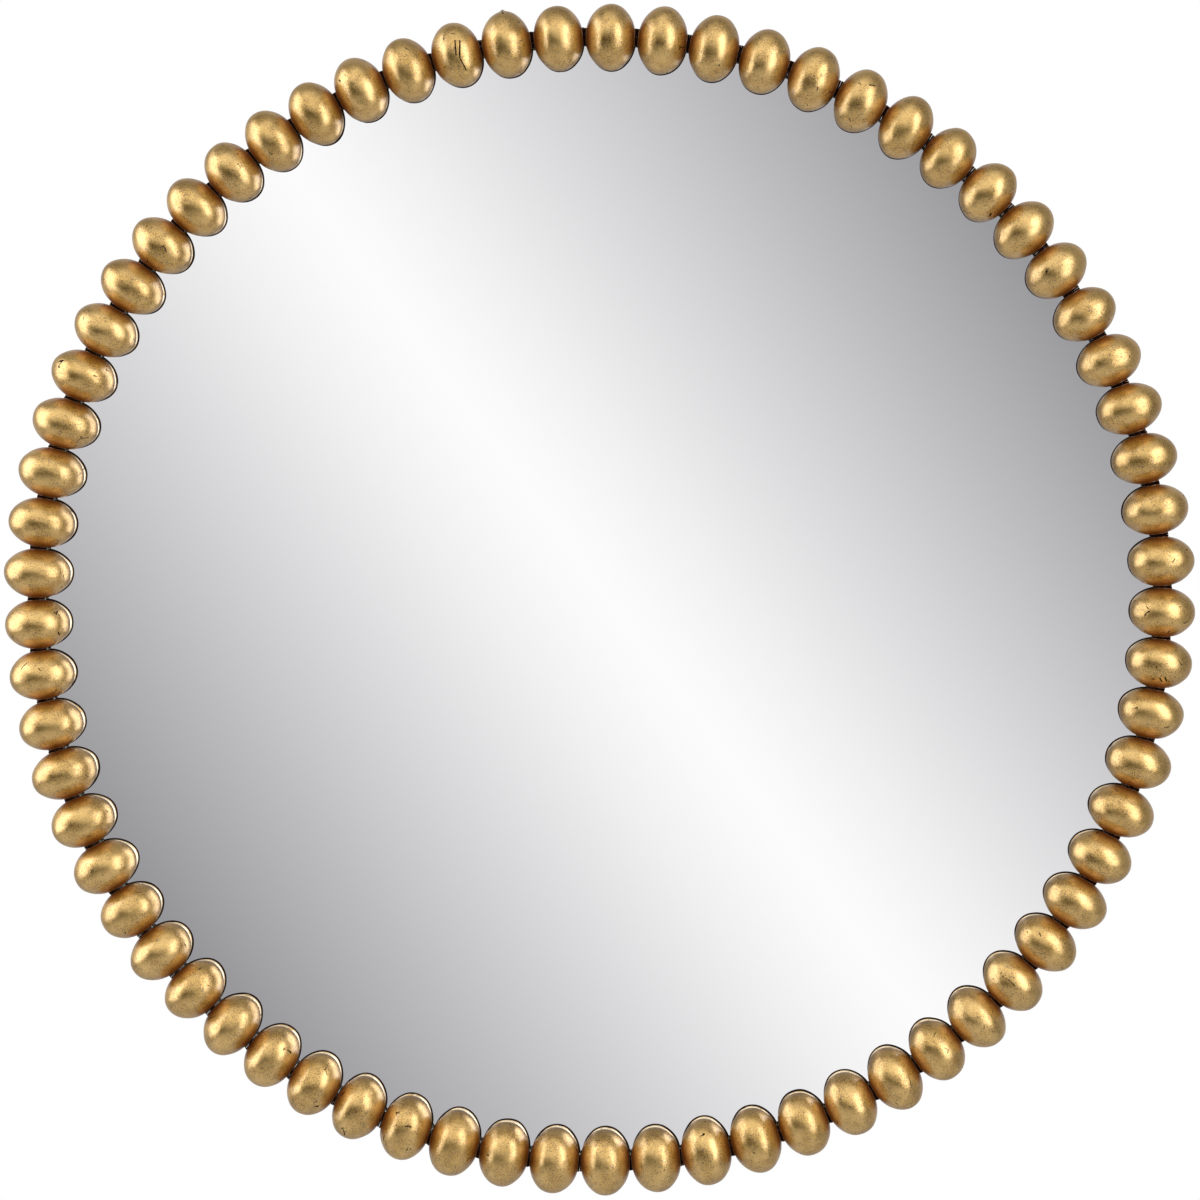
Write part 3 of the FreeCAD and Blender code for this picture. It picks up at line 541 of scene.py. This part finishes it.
nodeFinish = {
    "mirror_glass": "silveredGlass",
    "frame_ring": "paintedBoard",
    "back_panel": "hardboard",
    "glass_tape": "foamTape",
    "bead_hoop": "brightRod",
    "hoop_sleeve": "brightRod",
    "bead_clips": "zincStrip",
    "bead_screws": "zincScrews",
    "clip_screws": "zincScrews",
    "hanger_screws": "zincScrews",
    "panel_screws": "blackScrews",
    "hanger_strap_left": "nickelStrip",
    "hanger_strap_right": "nickelStrip",
    "d_ring_left": "nickelWire",
    "d_ring_right": "nickelWire",
    "bumper_upper_left": "bumperRubber",
    "bumper_upper_right": "bumperRubber",
    "bumper_lower_left": "bumperRubber",
    "bumper_lower_right": "bumperRubber",
}
for name, finish in nodeFinish.items():
    for slot in nodes[name].material_slots:
        slot.material = finishes[finish]
shownTriangles = sum(len(nodes[name].data.polygons) for name in nodeFinish)
print("finishes set on", len(nodeFinish), "nodes,", shownTriangles, "triangles")


# Floor
floorSpec = {
    "z": -1.55,
    "x": 3.0,
    "front": -5.0,
    "back": 3.0,
    "tone": colour(0.59, 0.59, 0.58),
    "paleTone": colour(0.63, 0.63, 0.62),
    "spot": 0.3,
}


def floorPlane():
    material, tree, shader = newFinish("paleFloor", Roughness=0.7)
    spots = noise(tree, objectCoords(tree), floorSpec["spot"], 4, 0.6)
    tint = mixColour(tree, spots, floorSpec["tone"], floorSpec["paleTone"])
    setInput(tree, shader.inputs["Base Color"], tint)
    x, front, back, z = (floorSpec[key] for key in ("x", "front", "back", "z"))
    corners = np.array([[-x, front, z], [x, front, z], [x, back, z], [-x, back, z]])
    floor = meshPiece("floor", corners, np.array([[0, 1, 2, 3]]), material)


floorPlane()

# Lights: two tall soft boxes, left and right of the camera, a little cooler than the fill
softBoxes = {
    "left": {"turn": -88, "away": 2.3, "z": 0.50, "width": 2.0, "height": 2.8, "power": 41.0,
             "tint": (0.97, 1.0, 1.10)},
    "right": {"turn": 51, "away": 2.3, "z": 0.45, "width": 1.4, "height": 3.0, "power": 33.5,
              "tint": (0.97, 1.0, 1.10)},
}
for name, box in softBoxes.items():
    lamp = bpy.data.lights.new("softBox_" + name, "AREA")
    lamp.shape = "RECTANGLE"
    lamp.size, lamp.size_y = box["width"], box["height"]
    lamp.energy = box["power"]
    lamp.color = box["tint"]
    holder = bpy.data.objects.new("softBox_" + name, lamp)
    turn = math.radians(box["turn"])
    holder.location = (box["away"] * math.sin(turn), -box["away"] * math.cos(turn), box["z"])
    holder.rotation_mode = "QUATERNION"
    holder.rotation_quaternion = (-holder.location).to_track_quat("-Z", "Y")
    holder.visible_camera = False
    bpy.context.scene.collection.objects.link(holder)
print("lights placed")

# Camera: almost square on, a little above and to the right
shot = {
    "at": (0.15, -6.00, 0.18),
    "aim": (0.00074, -0.031, 0.00044),
    "frameWidth": 0.8185,
    "sensor": 36.0,
}
lens = bpy.data.cameras.new("camera")
camera = bpy.data.objects.new("camera", lens)
sight = Vector(shot["aim"]) - Vector(shot["at"])
lens.sensor_width = shot["sensor"]
lens.lens = shot["sensor"] * sight.length / shot["frameWidth"]
camera.location = shot["at"]
camera.rotation_mode = "QUATERNION"
camera.rotation_quaternion = sight.to_track_quat("-Z", "Y")
bpy.context.scene.collection.objects.link(camera)
bpy.context.scene.camera = camera

# World: white to the camera, a dim studio round the beads, a graded backdrop in the mirror
backdrop = {
    "bandTurn": 36.5,
    "bandOff": 0.0057,
    "mirrorY": -0.017,
    "soft": 0.017,
    "reach": 0.36,
    "levels": (252.0, 239.7, 223.9, 207.1, 188.8, 169.7, 148.7),
    "cooler": 0.04,
}

studio = {
    "dim": 0.33,
    "behind": 0.60,
    "behindFrom": (-0.35, -0.90),
    "least": 0.05,
    "tint": (1.01, 1.0, 0.96),
    "lobes": (
        {"turn": 0, "rise": 45, "inner": 10, "outer": 62, "adds": 0.72},
        {"turn": -50, "rise": 45, "inner": 10, "outer": 46, "adds": 0.26},
        {"turn": -26, "rise": -18, "inner": 18, "outer": 46, "adds": -0.36},
    ),
}


def fromScreen(level):
    # a screen level of 0 to 255 as linear light
    share = level / 255
    return ((share + 0.055) / 1.055) ** 2.4


def studioWorld():
    world = bpy.data.worlds.new("studio")
    world.use_nodes = True
    tree = world.node_tree
    tree.nodes.clear()
    direction = addNode(tree, "ShaderNodeTexCoord").outputs["Generated"]
    parts = addNode(tree, "ShaderNodeSeparateXYZ", {"Vector": direction}).outputs
    ahead = math2(tree, "MULTIPLY", parts["Y"], -1.0)
    # light round the studio: white behind the mirror, dim in front of it, with broad soft lobes
    light = between(tree, ahead, *studio["behindFrom"], studio["dim"], studio["behind"])
    for lobe in studio["lobes"]:
        turn, rise = math.radians(lobe["turn"]), math.radians(lobe["rise"])
        towards = (math.sin(turn) * math.cos(rise), -math.cos(turn) * math.cos(rise), math.sin(rise))
        near = vectorMath(tree, "DOT_PRODUCT", direction, towards)
        inner, outer = (math.cos(math.radians(lobe[key])) for key in ("inner", "outer"))
        share = between(tree, near, outer, inner, 0.0, lobe["adds"])
        light = math2(tree, "ADD", light, share)
    light = math2(tree, "MAXIMUM", light, studio["least"])
    tinted = [math2(tree, "MULTIPLY", light, share) for share in studio["tint"]]
    around = addNode(tree, "ShaderNodeCombineColor", dict(zip(("Red", "Green", "Blue"), tinted)))
    # backdrop: how far the mirror point of this direction lies from a slanting band
    turn = math.radians(backdrop["bandTurn"])
    acrossX, acrossZ = math.cos(turn), math.sin(turn)
    x, y, z = shot["at"]
    far = backdrop["mirrorY"] - y
    away = math2(tree, "MAXIMUM", ahead, 0.05)
    slantX = math2(tree, "MULTIPLY", math2(tree, "DIVIDE", parts["X"], away), far * acrossX)
    slantZ = math2(tree, "MULTIPLY", math2(tree, "DIVIDE", parts["Z"], away), far * acrossZ)
    middle = x * acrossX + z * acrossZ - backdrop["bandOff"]
    offBand = math2(tree, "ADD", math2(tree, "ADD", slantX, slantZ), middle)
    # the band has a soft middle
    soft = backdrop["soft"]
    squares = math2(tree, "ADD", math2(tree, "MULTIPLY", offBand, offBand), soft ** 2)
    rounded = math2(tree, "SUBTRACT", math2(tree, "SQRT", squares), soft)
    share = math2(tree, "DIVIDE", rounded, backdrop["reach"], clamp=True)
    graded = addNode(tree, "ShaderNodeValToRGB", {"Fac": share})
    levels = backdrop["levels"]
    stops = graded.color_ramp.elements
    stops.remove(stops[0])
    for k, level in enumerate(levels):
        place = k / (len(levels) - 1)
        glow = fromScreen(level) / mirror["silver"][0]
        stop = stops[0] if k == 0 else stops.new(place)
        stop.position = place
        stop.color = colour(glow, glow, glow * (1 + backdrop["cooler"] * place))
    path = addNode(tree, "ShaderNodeLightPath").outputs
    seen = mixColour(tree, path["Is Singular Ray"], around.outputs["Color"], graded.outputs["Color"])
    seen = mixColour(tree, path["Is Camera Ray"], seen, colour(1, 1, 1))
    background = addNode(tree, "ShaderNodeBackground", {"Color": seen, "Strength": 1.0})
    output = addNode(tree, "ShaderNodeOutputWorld")
    tree.links.new(background.outputs["Background"], output.inputs["Surface"])
    bpy.context.scene.world = world


studioWorld()
bpy.context.scene.view_settings.view_transform = "Standard"
print("camera and world set")
